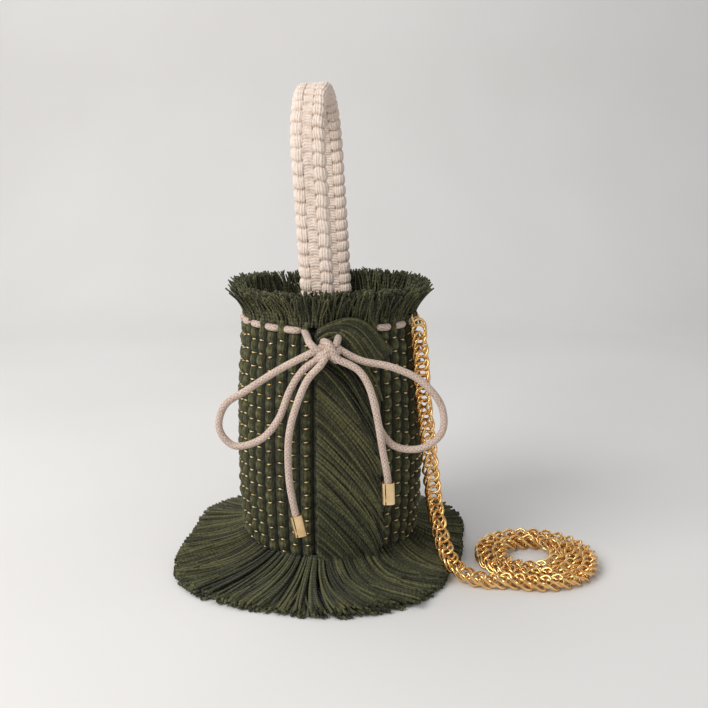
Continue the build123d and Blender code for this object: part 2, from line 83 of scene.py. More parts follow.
# Weave: columns round the bag, rows of metallic thread up it, and windows for the drawstring at the neck.
COLUMNS = 42
THIRD = COLUMNS // 3
YARNS_ACROSS = 5
ROW_PITCH = 10.8 * MM
FIRST_ROW = 8.5 * MM
ROWS = 19
NECK_HEIGHT = 203 * MM
WINDOWS = 24
RIB_HEIGHT = 3.5 * MM
SAMPLES_PER_COLUMN = 25
WALL_SAMPLES = 190
THREAD_SAMPLES_PER_COLUMN = 12

# Fringes: how many yarns, and where the flap lies (azimuth from the front towards the right).
# Each flap layer has its number of yarns and how far it stands out, in millimetres.
RIM_YARNS = 2100
SKIRT_YARNS = 2000
SKIRT_LOCKS = 96
SKIRT_BINS = 48
LEAST_SKIRT_RADIUS = 100 * MM
FLAP_COVER = math.radians(24)
FLAP_FOOT = math.radians(24)
FLAP_FOOT_WIDTH = 0.5
FLAP_LOCKS = 34
FLAP_LAYERS = ((130, 0.0), (118, 1.6), (104, 3.2))
CREST_YARNS = 150

# Cord radius, handle band, and the chain: link pairs in each run, and the half sizes of a link.
CORD = 2.75 * MM
CORD_SIDES = 20
CORD_STEP = 1.2 * MM
HANDLE_WIDTH = 25 * MM
HANDLE_THICK = 9 * MM
HANDLE_CORNER = 3.4 * MM
KNOT_DEPTH = 0.9 * MM
KNOT_PITCH = 9.6 * MM
KNOT_SEAM = 4.1 * MM
BAND_COLUMNS = 136
BAND_STEPS = 715
SEWN_STEPS = 60
HALF_SPAN = 55.5 * MM
LEAN = math.radians(3.3)
TOP_STATIONS = 9
LOW_STATIONS = 14
FLOOR_STATIONS = 52
LINK_STACK = 1.35 * MM
LINK_STAGGER = 2.0 * MM
LINK_LONG = 8.0 * MM
LINK_WIDE = 5.7 * MM
LINK_TWIST = 2.9 * MM
LINK_WIRE = 1.12 * MM
LINK_POINTS = 30

rng = np.random.default_rng(7)


def body_radius(height):
    """Radius of the woven wall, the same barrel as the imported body."""
    narrowing = NECK_NARROWING * ((height - BELLY_HEIGHT) / (BODY_TOP - BELLY_HEIGHT)) ** 2
    return BODY_RADIUS - narrowing - BASE_TUCK * np.exp(-height / TUCK_HEIGHT)


def around(azimuth, radius, height):
    """Points from azimuth (radians from the front towards the right), radius and height."""
    return np.stack(np.broadcast_arrays(radius * np.sin(azimuth), -radius * np.cos(azimuth), height), -1)


def smooth(x):
    """Ease from 0 to 1."""
    x = np.clip(x, 0, 1)
    return x * x * (3 - 2 * x)


# ---------------------------------------------------------------- mesh helpers

def make_mesh(name, verts, faces, material, body, uv=None, atlas=None, tone_and_shade=None):
    """Object from arrays. faces is one (n, k) array or a list; uv and atlas hold one pair per corner."""
    groups = faces if isinstance(faces, list) else [faces]
    mesh = bpy.data.meshes.new(name)
    verts = np.asarray(verts, dtype=np.float32).reshape(-1, 3)
    mesh.vertices.add(len(verts))
    mesh.vertices.foreach_set("co", verts.ravel())
    corner_verts = np.concatenate([g.ravel() for g in groups]).astype(np.int32)
    sizes = np.concatenate([np.full(len(g), g.shape[1]) for g in groups]).astype(np.int32)
    starts = np.concatenate([[0], np.cumsum(sizes)[:-1]]).astype(np.int32)
    mesh.loops.add(len(corner_verts))
    mesh.loops.foreach_set("vertex_index", corner_verts)
    mesh.polygons.add(len(sizes))
    mesh.polygons.foreach_set("loop_start", starts)
    mesh.polygons.foreach_set("use_smooth", np.ones(len(sizes), dtype=bool))
    mesh.update(calc_edges=True)
    for layer_name, pairs in (("weave", uv), ("OFBake", atlas)):
        if pairs is not None:
            layer = mesh.uv_layers.new(name=layer_name)
            layer.data.foreach_set("uv", np.asarray(pairs, dtype=np.float32).ravel())
    if tone_and_shade is not None:
        attribute = mesh.attributes.new("tone_and_shade", "FLOAT", "POINT")
        attribute.data.foreach_set("value", np.asarray(tone_and_shade, dtype=np.float32).ravel())
    mesh.validate()
    piece = bpy.data.objects.new(name, mesh)
    bpy.context.scene.collection.objects.link(piece)
    mesh.materials.append(material)
    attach(piece, body)
    return piece


def grid_faces(rows, columns, wrap_rows=False, wrap_columns=False):
    """Quads of a grid of points, with the index of each corner and its place in the grid."""
    r = np.arange(rows if wrap_rows else rows - 1)
    c = np.arange(columns if wrap_columns else columns - 1)
    r, c = [a.ravel() for a in np.meshgrid(r, c, indexing="ij")]
    steps = [(0, 0), (0, 1), (1, 1), (1, 0)]
    index = np.stack([((r + dr) % rows) * columns + (c + dc) % columns for dr, dc in steps], 1)
    place = np.stack([np.stack([(r + dr) / max(1, rows - 1 + wrap_rows),
                                (c + dc) / max(1, columns - 1 + wrap_columns)], -1)
                      for dr, dc in steps], 1)
    return index, place


def bundle(name, paths, radii, material, body, sides=5, tone_and_shade=None, up=None):
    """Many round strands in one mesh. paths is (strands, points, 3), radii (strands, points)."""
    paths = np.asarray(paths, dtype=float)
    strands, points = paths.shape[:2]
    radii = np.broadcast_to(radii, (strands, points))
    tangent = np.gradient(paths, axis=1)
    tangent /= np.linalg.norm(tangent, axis=2, keepdims=True) + 1e-12
    if up is None:
        chord = paths[:, -1] - paths[:, 0] + 1e-9
        reference = np.cross(chord, [0.31, 0.53, 0.79])
        reference /= np.linalg.norm(reference, axis=1, keepdims=True)
        reference = np.repeat(reference[:, None], points, 1)
    else:
        reference = np.broadcast_to(np.asarray(up, float), paths.shape)
    side = np.cross(tangent, reference)
    side /= np.linalg.norm(side, axis=2, keepdims=True) + 1e-12
    lift = np.cross(side, tangent)
    angle = TAU * np.arange(sides) / sides
    ring = (np.cos(angle)[None, None, :, None] * side[:, :, None]
            + np.sin(angle)[None, None, :, None] * lift[:, :, None])
    verts = paths[:, :, None] + ring * radii[:, :, None, None]
    quads, place = grid_faces(points, sides, wrap_columns=True)
    offsets = (np.arange(strands) * points * sides)[:, None, None]
    quads = (quads[None] + offsets).reshape(-1, 4)
    first = np.arange(sides)[::-1][None] + np.arange(strands)[:, None] * points * sides
    last = (np.arange(sides) + (points - 1) * sides)[None] + np.arange(strands)[:, None] * points * sides
    length = np.cumsum(np.linalg.norm(np.diff(paths, axis=1), axis=2), axis=1)
    length = np.concatenate([np.zeros((strands, 1)), length], 1)
    step = np.round(place[..., 0] * (points - 1)).astype(int)
    along = length[:, step]
    turn = np.broadcast_to(place[..., 1], along.shape)
    uv = np.stack([turn, along * 100], -1).reshape(-1, 4, 2)
    across = int(math.ceil(math.sqrt(strands)))
    cell = np.stack([np.arange(strands) % across, np.arange(strands) // across], 1) / across
    local = np.stack([turn, np.broadcast_to(place[..., 0], along.shape)], -1) * 0.9 + 0.05
    atlas = (cell[:, None, None] + local / across).reshape(-1, 4, 2)
    cap_uv = np.zeros((strands, sides, 2))
    cap_low = np.repeat((cell + 0.05 / across)[:, None], sides, 1)
    cap_spread = np.stack([np.cos(angle), np.sin(angle)], -1)[None] * 0.02 / across
    uv = np.concatenate([uv.reshape(-1, 2), cap_uv.reshape(-1, 2), cap_uv.reshape(-1, 2)])
    atlas = np.concatenate([atlas.reshape(-1, 2), (cap_low + cap_spread).reshape(-1, 2),
                            (cap_low + cap_spread + 0.9 / across).reshape(-1, 2)])
    if tone_and_shade is None:
        tone_and_shade = rng.random(strands)
    tone_and_shade = np.repeat(np.asarray(tone_and_shade), points * sides)
    return make_mesh(name, verts, [quads, first, last], material, body, uv, atlas, tone_and_shade)


def sheet(name, points, material, body, uv_scale=(1, 1), closed=(False, False), tone_and_shade=None):
    """Surface from a grid of points (rows, columns, 3); a closed direction wraps round."""
    rows, columns = points.shape[:2]
    quads, place = grid_faces(rows, columns, closed[0], closed[1])
    uv = place[..., ::-1] * np.array(uv_scale)
    atlas = place[..., ::-1] * 0.98 + 0.01
    return make_mesh(name, points, quads, material, body, uv, atlas, tone_and_shade)


def resample(control, count):
    """Smooth curve through control points (Catmull-Rom), with evenly spaced samples."""
    control = np.asarray(control, dtype=float)
    padded = np.concatenate([2 * control[:1] - control[1:2], control, 2 * control[-1:] - control[-2:-1]])
    fine = []
    for k in range(1, len(padded) - 2):
        p0, p1, p2, p3 = padded[k - 1:k + 3]
        d1, d2, d3 = [math.sqrt(np.linalg.norm(b - a)) + 1e-9 for a, b in ((p0, p1), (p1, p2), (p2, p3))]
        m1 = (p1 - p0) / d1 - (p2 - p0) / (d1 + d2) + (p2 - p1) / d2
        m2 = (p2 - p1) / d2 - (p3 - p1) / (d2 + d3) + (p3 - p2) / d3
        t = np.linspace(0, 1, 24, endpoint=False)[:, None]
        h = [2 * t**3 - 3 * t**2 + 1, t**3 - 2 * t**2 + t, 3 * t**2 - 2 * t**3, t**3 - t**2]
        fine.append(h[0] * p1 + h[1] * m1 * d2 + h[2] * p2 + h[3] * m2 * d2)
    fine.append(padded[-2][None])
    fine = np.concatenate(fine)
    length = np.concatenate([[0], np.cumsum(np.linalg.norm(np.diff(fine, axis=0), axis=1))])
    want = np.linspace(0, length[-1], count)
    return np.stack([np.interp(want, length, fine[:, k]) for k in range(3)], 1)


# ---------------------------------------------------------------- materials

def new_material(name, roughness=0.85, metallic=0.0, sheen=0.0):
    """Principled material on the default node tree, with its roughness, metal and sheen set."""
    material = bpy.data.materials.new(name)
    material.use_nodes = True
    shader = material.node_tree.nodes["Principled BSDF"]
    shader.inputs["Roughness"].default_value = roughness
    shader.inputs["Metallic"].default_value = metallic
    shader.inputs["Sheen Weight"].default_value = sheen
    return material, material.node_tree, shader


def node(tree, kind, **values):
    """Add a node and set its inputs or properties by name."""
    made = tree.nodes.new(kind)
    for key, value in values.items():
        if key in made.inputs:
            made.inputs[key].default_value = value
        else:
            setattr(made, key, value)
    return made


def ramp(tree, source, stops):
    """Colour ramp over a value, with (position, colour) stops."""
    made = tree.nodes.new("ShaderNodeValToRGB")
    elements = made.color_ramp.elements
    while len(elements) < len(stops):
        elements.new(0.5)
    for element, (position, colour) in zip(elements, stops):
        element.position = position
        element.color = (*colour, 1)
    tree.links.new(source, made.inputs["Fac"])
    return made.outputs["Color"]


def combine(tree, first, second, operation="ADD"):
    """Math node on two sockets or numbers."""
    made = tree.nodes.new("ShaderNodeMath")
    made.operation = operation
    for slot_index, source in enumerate((first, second)):
        if isinstance(source, (int, float)):
            made.inputs[slot_index].default_value = source
        else:
            tree.links.new(source, made.inputs[slot_index])
    return made.outputs[0]


def scaled(tree, source, factor):
    """Value times a number."""
    return combine(tree, source, factor, "MULTIPLY")


def add_bump(tree, shader, height, distance):
    """Bump from a height value, with its depth in metres."""
    bump = node(tree, "ShaderNodeBump", Strength=1.0, Distance=distance)
    tree.links.new(height, bump.inputs["Height"])
    tree.links.new(bump.outputs["Normal"], shader.inputs["Normal"])


def noise(tree, scale, detail=4.0, stretch=None):
    """Noise value on object coordinates, stretched if asked."""
    vector = tree.nodes.new("ShaderNodeTexCoord").outputs["Object"]
    if stretch is not None:
        mapping = node(tree, "ShaderNodeMapping", Scale=stretch)
        tree.links.new(vector, mapping.inputs["Vector"])
        vector = mapping.outputs["Vector"]
    made = node(tree, "ShaderNodeTexNoise", Scale=scale, Detail=detail)
    tree.links.new(vector, made.inputs["Vector"])
    return made.outputs["Fac"]


def uv_wave(tree, u_scale, v_scale):
    """Diagonal stripes over a strand's own coordinates: its twist or braid."""
    coordinate = node(tree, "ShaderNodeUVMap", uv_map="weave")
    split = tree.nodes.new("ShaderNodeSeparateXYZ")
    tree.links.new(coordinate.outputs["UV"], split.inputs[0])
    phase = combine(tree, scaled(tree, split.outputs[0], u_scale * TAU),
                    scaled(tree, split.outputs[1], v_scale * TAU))
    wave = tree.nodes.new("ShaderNodeMath")
    wave.operation = "SINE"
    tree.links.new(phase, wave.inputs[0])
    return combine(tree, scaled(tree, wave.outputs[0], 0.5), 0.5)


def yarn_material(name, stops, twist, fuzz, depth):
    """Twisted yarn: colour by strand tone and painted shade, streaks and fuzz, with the ply as bump."""
    material, tree, shader = new_material(name, 0.9, sheen=0.1)
    tone_and_shade = node(tree, "ShaderNodeAttribute", attribute_name="tone_and_shade").outputs["Fac"]
    streak = noise(tree, 380, 5)
    fibre = noise(tree, fuzz, 3)
    ply = uv_wave(tree, *twist)
    value = combine(tree, scaled(tree, tone_and_shade, 0.5), scaled(tree, streak, 0.55))
    value = combine(tree, value, scaled(tree, ply, 0.09))
    value = combine(tree, value, scaled(tree, fibre, 0.3))
    tree.links.new(ramp(tree, value, stops), shader.inputs["Base Color"])
    add_bump(tree, shader, combine(tree, ply, scaled(tree, fibre, 0.8)), depth)
    return material


def braid_material(name, stops, strands=6, pitch=3.1, depth=0.3 * MM):
    """Round braided cord: two crossing sets of diagonal plaits."""
    material, tree, shader = new_material(name, 0.8, sheen=0.25)
    left = uv_wave(tree, strands, pitch)
    right = uv_wave(tree, -strands, pitch)
    plait = combine(tree, left, right, "MAXIMUM")
    fleck = noise(tree, 1100, 4)
    cloud = noise(tree, 60, 3)
    value = combine(tree, scaled(tree, plait, 0.24), scaled(tree, fleck, 0.8))
    value = combine(tree, value, scaled(tree, cloud, 0.3))
    tree.links.new(ramp(tree, value, stops), shader.inputs["Base Color"])
    add_bump(tree, shader, combine(tree, plait, scaled(tree, fleck, 0.5)), depth)
    return material


def metal_material(name, stops, roughness, grain, depth):
    """Plated metal with faint tarnish clouds, fine scratches and uneven polish."""
    material, tree, shader = new_material(name, roughness, metallic=1.0)
    cloud = noise(tree, 90, 4)
    tree.links.new(ramp(tree, cloud, stops), shader.inputs["Base Color"])
    scratch = noise(tree, grain, 4, stretch=(1, 1, 0.2))
    rough = combine(tree, scaled(tree, scratch, 0.22), roughness - 0.08)
    tree.links.new(rough, shader.inputs["Roughness"])
    add_bump(tree, shader, scratch, depth)
    return material


def cloth_material(name, stops, threads=900.0, depth=0.12 * MM):
    """Plain woven cloth: crossing threads over object coordinates."""
    material, tree, shader = new_material(name, 0.92, sheen=0.2)
    coordinate = tree.nodes.new("ShaderNodeTexCoord").outputs["Object"]
    waves = []
    for direction in ("X", "Y", "Z"):
        wave = node(tree, "ShaderNodeTexWave", Scale=threads / 10, Distortion=0.4, bands_direction=direction)
        tree.links.new(coordinate, wave.inputs["Vector"])
        waves.append(wave.outputs["Fac"])
    weave = combine(tree, combine(tree, waves[0], waves[1]), waves[2])
    cloud = noise(tree, 45, 4)
    value = combine(tree, scaled(tree, weave, 0.15), scaled(tree, cloud, 0.6))
    tree.links.new(ramp(tree, value, stops), shader.inputs["Base Color"])
    add_bump(tree, shader, weave, depth)
    return material


# The olive and cream ramps run from the yarn's colour in shadow to its colour in highlight: their dark and
# pale ends are painted shade and painted highlight, chosen by the tone and noise values in yarn_material.
OLIVE = [(0.34, (0.004, 0.004, 0.0013)), (0.54, (0.0175, 0.018, 0.0055)), (0.74, (0.046, 0.046, 0.0145)),
         (1.0, (0.12, 0.115, 0.04))]
CREAM = [(0.35, (0.27, 0.18, 0.125)), (0.6, (0.50, 0.38, 0.295)), (0.82, (0.66, 0.53, 0.44)),
         (1, (0.78, 0.66, 0.57))]
wool = yarn_material("olive_wool", OLIVE, twist=(0, 0), fuzz=1300, depth=0.6 * MM)
fringe_yarn = yarn_material("olive_yarn", OLIVE, twist=(1, 3.2), fuzz=1700, depth=0.35 * MM)
cream = yarn_material("cream_cotton", CREAM, twist=(0, 0), fuzz=1100, depth=0.6 * MM)
cord_braid = braid_material(
    "beige_braid",
    [(0.44, (0.27, 0.18, 0.13)), (0.72, (0.53, 0.40, 0.325)), (0.95, (0.72, 0.58, 0.50))])
gold_thread_material = metal_material(
    "gold_thread", [(0.3, (0.62, 0.42, 0.16)), (0.7, (0.95, 0.76, 0.42))], 0.42, 2200, 0.05 * MM)
gold = metal_material(
    "polished_gold", [(0.3, (0.78, 0.45, 0.15)), (0.7, (0.96, 0.66, 0.29))], 0.2, 700, 0.01 * MM)
pale_gold = metal_material(
    "pale_gold", [(0.3, (0.74, 0.50, 0.24)), (0.7, (0.93, 0.70, 0.42))], 0.3, 1200, 0.02 * MM)
lining_cloth = cloth_material(
    "lining_cloth", [(0.2, (0.035, 0.038, 0.022)), (0.7, (0.085, 0.09, 0.055))])
board = cloth_material("board", [(0.2, (0.16, 0.15, 0.13)), (0.7, (0.26, 0.25, 0.22))], threads=1600)


def dress(node_name, material):
    """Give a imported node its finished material."""
    piece = bpy.data.objects[node_name]
    piece.data.materials.clear()
    piece.data.materials.append(material)
    for polygon in piece.data.polygons:
        polygon.material_index = 0


# ---------------------------------------------------------------- woven body

column_shift = rng.uniform(-2.2, 2.2, COLUMNS) * MM
cell_swell = rng.uniform(0.75, 1.15, (COLUMNS, ROWS + 3))


def window_mask(azimuth, height):
    """1 where the drawstring runs over the outside of the weave, 0 where the weave covers it."""
    along = np.cos(TAU * (azimuth / TAU * WINDOWS - 0.5))
    shown = smooth((np.mod(azimuth, TAU) - FLAP_COVER) / 0.05)
    return shown * smooth((along + 0.35) * 2.2) * smooth(1.6 - np.abs(height - NECK_HEIGHT) / (2.6 * MM))


def weave_height(azimuth, height):
    """How far the wool stands out from the body radius: puffed cells pinched at every thread row."""
    place = azimuth / TAU * COLUMNS
    column = np.floor(place).astype(int) % COLUMNS
    across = place - np.floor(place)
    shifted = (height - FIRST_ROW - column_shift[column]) / ROW_PITCH
    row = np.clip(np.floor(shifted).astype(int) + 1, 0, ROWS + 2)
    along = shifted - np.floor(shifted)
    rib = np.sin(np.pi * np.clip(across, 0, 1)) ** 0.7
    puff = np.abs(np.sin(np.pi * along)) ** 0.58
    spread = 0.09 * np.sin(np.pi * along) * np.sin(TAU * across)
    drawn = across + spread + 0.03 * np.sin(7 * shifted + column)
    strands = np.abs(np.sin(np.pi * YARNS_ACROSS * drawn)) ** 0.7
    swell = cell_swell[column, row]
    neck = smooth((np.abs(height - NECK_HEIGHT) - 2 * MM) / (5 * MM))
    puff = 1 - neck * (1 - puff)
    height_out = rib * (0.8 + 3.6 * puff * swell) + 1.2 * (strands - 0.6) * rib
    return (height_out - 3.5) * MM - 3.4 * MM * window_mask(azimuth, height) * (height_out > 0)


def weave_piece(name, first_column, column_count):
    """A run of woven columns as a closed shell: ribbed outside, plain inside."""
    fine = SAMPLES_PER_COLUMN * column_count + 1
    azimuth = np.linspace(first_column, first_column + column_count, fine) / COLUMNS * TAU
    low = body_low[2]
    heights = np.linspace(low, BODY_TOP, WALL_SAMPLES)
    a, z = np.meshgrid(azimuth, heights)
    radius = body_radius(z) + weave_height(a, z)
    tuck = smooth((z - low) / (3 * MM)) * smooth((BODY_TOP - z) / (3 * MM))
    radius = radius * tuck + (body_radius(z) - RIB_HEIGHT) * (1 - tuck)
    fibre_round = np.sin(a * 611 + 5 * np.sin(z * 700))
    fibre_up = np.sin(z * 1900 + 3 * np.sin(a * 90))
    radius = radius + 0.16 * MM * fibre_round * fibre_up
    outside = around(a, radius, z)
    inner_heights = np.linspace(BODY_TOP, low, 6)
    ai, zi = np.meshgrid(azimuth, inner_heights)
    inside = around(ai, body_radius(zi) - WALL + 0.1 * MM, zi)
    points = np.concatenate([outside, inside])
    # Painted shade: the tone follows how far the wool stands out, so the gaps between columns and the pinches
    # at each thread row come out darker; the plain inside face gets a low tone.
    tone_and_shade = np.clip((radius - body_radius(z)) / (3.2 * MM) + 0.72, 0, 1)
    tone_and_shade = np.concatenate([tone_and_shade, np.full(zi.shape, 0.2)])
    tone_and_shade = tone_and_shade * (0.8 + 0.2 * np.sin(points[..., 2] * 900 + points[..., 0] * 300))
    return sheet(name, points, wool, "bag", (column_count, 20), closed=(True, False), tone_and_shade=tone_and_shade)


for index in range(3):
    piece = weave_piece(f"weave_{index + 1}", index * THIRD, THIRD)
    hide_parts("woven_body")


def gold_rows():
    """One metallic thread per row: a bright dash over each column, sunk in the gaps between."""
    count = COLUMNS * THREAD_SAMPLES_PER_COLUMN
    azimuth = np.arange(count + 1) / count * TAU
    paths = []
    radii = []
    for row in range(ROWS):
        column = np.floor(azimuth / TAU * COLUMNS + 1e-6).astype(int) % COLUMNS
        across = azimuth / TAU * COLUMNS - np.floor(azimuth / TAU * COLUMNS + 1e-6)
        following = (column + 1) % COLUMNS
        previous = (column - 1) % COLUMNS
        here = column_shift[column]
        other = np.where(across > 0.5, column_shift[following], column_shift[previous])
        share = np.abs(across - 0.5)
        height = FIRST_ROW + row * ROW_PITCH + here * (1 - share) + other * share
        crown = np.sin(np.pi * np.clip(across, 0, 1))
        radius = body_radius(height) + (-4.6 + 3.9 * crown ** 1.5) * MM
        paths.append(around(azimuth, radius, height))
        radii.append((0.12 + 0.58 * smooth((crown - 0.80) / 0.16)) * MM)
    keep = [k for k in range(ROWS) if abs(FIRST_ROW + k * ROW_PITCH - NECK_HEIGHT) > 5.2 * MM]
    return np.array(paths)[keep], np.array(radii)[keep]


thread_paths, thread_radii = gold_rows()
threads = bundle("gold_thread_rows", thread_paths, thread_radii, gold_thread_material, "bag",
                 up=(0, 0, 1))
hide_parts("gold_thread")

# ---------------------------------------------------------------- fringes


def clumped(count, clumps, share):
    """Azimuths, with a share of them gathered loosely into clumps, as yarn ends bunch together."""
    centre = (rng.integers(0, clumps, count) + rng.uniform(0.35, 0.65, count)) / clumps
    loose = rng.random(count)
    return TAU * np.where(rng.random(count) < share, centre, loose)


def top_fringe(count=RIM_YARNS, points=9):
    """Yarn ends that stand up from the rim and flare outwards."""
    tallest = corners("top_fringe")[1][2]
    t = np.linspace(0, 1, points)[None]
    start = clumped(count, 2 * COLUMNS, 0.55)[:, None]
    layer = rng.random(count)[:, None]
    rise = (rng.uniform(0.80, 1.02, count) + 0.06 * np.sin(3 * start[:, 0] + 1))[:, None]
    flare = (4 + 8.5 * (1 - layer) + rng.normal(0, 1.6, (count, 1))) * MM
    base = BODY_TOP - (7 - 4 * layer) * MM
    tip = base + (tallest - base) * rise
    radius = body_radius(BODY_TOP) - 4.6 * MM * layer + 0.4 * MM + flare * t ** 1.5
    height = base + (tip - base) * (t - 0.1 * t ** 3)
    lean = rng.normal(0, 0.055, (count, 1)) + 0.05 * np.sin(5 * start + 0.8)
    wobble = rng.normal(0, 0.010, (count, 1)) * np.sin(t * np.pi * 2)
    azimuth = start + lean * t ** 1.3 + wobble
    paths = around(azimuth, radius, height)
    thick = (rng.uniform(0.62, 0.88, (count, 1)) * (1 - 0.12 * t)) * MM
    return paths, thick


paths, thick = top_fringe()
piece = bundle("rim_fringe", paths, thick, fringe_yarn, "bag")
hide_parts("top_fringe")


def skirt_edge(azimuth):
    """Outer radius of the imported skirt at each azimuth."""
    spots = mesh_points("base_fringe")
    radius = np.hypot(spots[:, 0], spots[:, 1])
    angle = np.mod(np.arctan2(spots[:, 0], -spots[:, 1]), TAU)
    rim = radius > LEAST_SKIRT_RADIUS
    order = np.argsort(angle[rim])
    angle, radius = angle[rim][order], radius[rim][order]
    bins = np.linspace(0, TAU, SKIRT_BINS + 1)
    spans = list(zip(bins[:-1], bins[1:]))
    widest = np.array([radius[(angle >= low) & (angle < high)].max(initial=0) for low, high in spans])
    middle = (bins[:-1] + bins[1:]) / 2
    filled = widest > 0
    return np.interp(np.mod(azimuth, TAU), middle[filled], widest[filled], period=TAU)


def base_skirt(first, last, count=SKIRT_YARNS, points=10):
    """Yarn ends that leave the base in one span of azimuth, drop to the floor and lie spread out."""
    t = np.linspace(0, 1, points)[None]
    start = first + (last - first) * rng.random((count, 1))
    lock = np.round(start / TAU * SKIRT_LOCKS) / SKIRT_LOCKS * TAU
    layer = rng.random((count, 1)) ** 0.8
    start = start + (lock - start) * 0.25
    wave = (0.10 * np.sin(3 * lock + 0.6) + 0.045 * np.sin(11 * lock + 2)
            + 0.022 * np.sin(23 * lock + 1.6))
    from_flap = np.mod(lock + math.pi, TAU) - math.pi - FLAP_FOOT
    under_flap = np.exp(-(from_flap / FLAP_FOOT_WIDTH) ** 2)
    drift = wave + rng.normal(0, 0.035, (count, 1)) + 0.20 * under_flap
    azimuth = start + drift * t ** 1.5
    edge = skirt_edge((start + drift)[:, 0])[:, None]
    reach = edge * rng.uniform(0.945, 1.0, (count, 1)) - 1.5 * MM * layer
    root_height = (4 + 15 * layer + 8 * under_flap * layer) * MM
    root = body_radius(root_height) - 0.5 * MM
    radius = root + (reach - root) * t ** 0.96
    settle = np.exp(-t * (4.6 - 1.6 * layer)) * (1 - 0.25 * t)
    swell = 1 + 0.28 * np.sin(9 * lock + 1)
    lie = (1.2 + 7.6 * layer * swell * (1 - 0.25 * t)) * MM
    height = root_height * settle + lie * (1 - settle)
    height = np.maximum(height, 1.1 * MM)
    thick = rng.uniform(0.82, 1.08, (count, 1)) * (1 + 0.12 * t) * MM
    return around(azimuth, radius, height), thick


for index in range(2):
    paths, thick = base_skirt(index * math.pi, (index + 1) * math.pi)
    piece = bundle(f"floor_fringe_{index + 1}", paths, thick, fringe_yarn, "bag")
    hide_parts("base_fringe")


def front_flap(count, depth, points=14):
    """Yarn ends of the front seam that sweep down and round to the right over the weave."""
    t = np.linspace(0, 1, points)[None]
    row = (np.arange(count)[:, None] + rng.uniform(-0.3, 0.3, (count, 1))) / count
    lock = np.round(row * FLAP_LOCKS) / FLAP_LOCKS
    root_height = (8 + 192 * row) * MM
    start = np.radians(-6.5 + 1.6 * rng.random((count, 1)))
    crest = smooth((row - 0.86) / 0.12)
    sweep = np.radians(35 + 2.4 * np.sin(lock * 41) + rng.normal(0, 0.9, (count, 1)) - 4 * crest)
    drop = (67 + 2.5 * np.sin(lock * 29 + 1) + rng.normal(0, 1.4, (count, 1)) - 18 * crest) * MM
    azimuth = start + sweep * (1 - (1 - t) ** 1.22)
    fall = t ** 1.12 * (1 - crest) + (t ** 2.2) * crest
    lift = 9.5 * MM * crest * np.sin(np.pi * np.minimum(t * 1.5, 1))
    height = root_height - drop * fall + lift
    stand = (0.6 + depth + 3.0 * t + 0.9 * rng.random((count, 1)) + 2.5 * crest * np.sin(np.pi * t)) * MM
    floor = (7.0 + 3.0 * rng.random((count, 1)) + depth) * MM
    below = np.maximum(floor - height, 0)
    radius = body_radius(np.clip(height, 0, BODY_TOP)) + stand + below * 0.95
    height = np.maximum(height, floor - 0.08 * below)
    azimuth = azimuth + rng.normal(0, 0.005, (count, 1)) * np.sin(t * 5)
    thick = rng.uniform(0.85, 1.05, (count, 1)) * np.ones_like(t) * MM
    return around(azimuth, radius, height), thick


for index, (yarns, depth) in enumerate(FLAP_LAYERS):
    paths, thick = front_flap(yarns, depth)
    piece = bundle(f"front_flap_{index + 1}", paths, thick, fringe_yarn, "bag", sides=6)
    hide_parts("front_fringe")


def flap_crest(count=CREST_YARNS, points=18):
    """Highest yarn ends of the flap: they arch over the neck beside the knot, then fall to the right."""
    t = np.linspace(0, 1, points)[None]
    outer = rng.random((count, 1))
    start = np.radians(-6 + 6 * rng.random((count, 1)) * (1 - 0.5 * outer))
    azimuth = start + np.radians(20 + 24 * outer + rng.normal(0, 1.2, (count, 1))) * t ** 0.92
    root_height = (199.5 + 3.5 * outer + 1.5 * rng.random((count, 1))) * MM
    arch = (2.5 + 9.0 * outer) * MM * np.sin(np.pi * np.minimum(t * 1.15, 1))
    fall = (31 - 12 * outer + rng.normal(0, 1.2, (count, 1))) * MM * t ** 2.1
    height = root_height + arch - fall
    stand = (1.6 + 4.6 * np.sin(np.pi * t ** 0.7) * (0.5 + 0.5 * rng.random((count, 1))) + 1.2 * t) * MM
    radius = body_radius(np.minimum(height, BODY_TOP)) + stand
    thick = rng.uniform(0.7, 0.92, (count, 1)) * np.ones_like(t) * MM
    return around(azimuth, radius, height), thick


paths, thick = flap_crest()
piece = bundle("flap_crest", paths, thick, fringe_yarn, "bag", sides=6)
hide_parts("front_fringe")

# ---------------------------------------------------------------- drawstring and bow


def cord(name, node_name, body, control, up=(0.02, 0.999, 0.03)):
    """Braided cord through control points given in millimetres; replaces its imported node, if it has one."""
    control = np.asarray(control, dtype=float) * MM
    length = np.sum(np.linalg.norm(np.diff(control, axis=0), axis=1))
    path = resample(control, int(length / CORD_STEP))
    made = bundle(name, path[None], CORD, cord_braid, body, sides=CORD_SIDES, up=up)
    if node_name:
        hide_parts(node_name)
    return made


def planar(front, outline):
    """Outline of (x, z) pairs on a vertical plane in front of the bag."""
    return [(x, -front, z) for x, z in outline]


def box_front(node_name):
    """Distance of a flat cord's middle plane in front of the origin, in millimetres."""
    low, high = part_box(node_name)
    return -(low[1] + high[1]) / 2 / MM


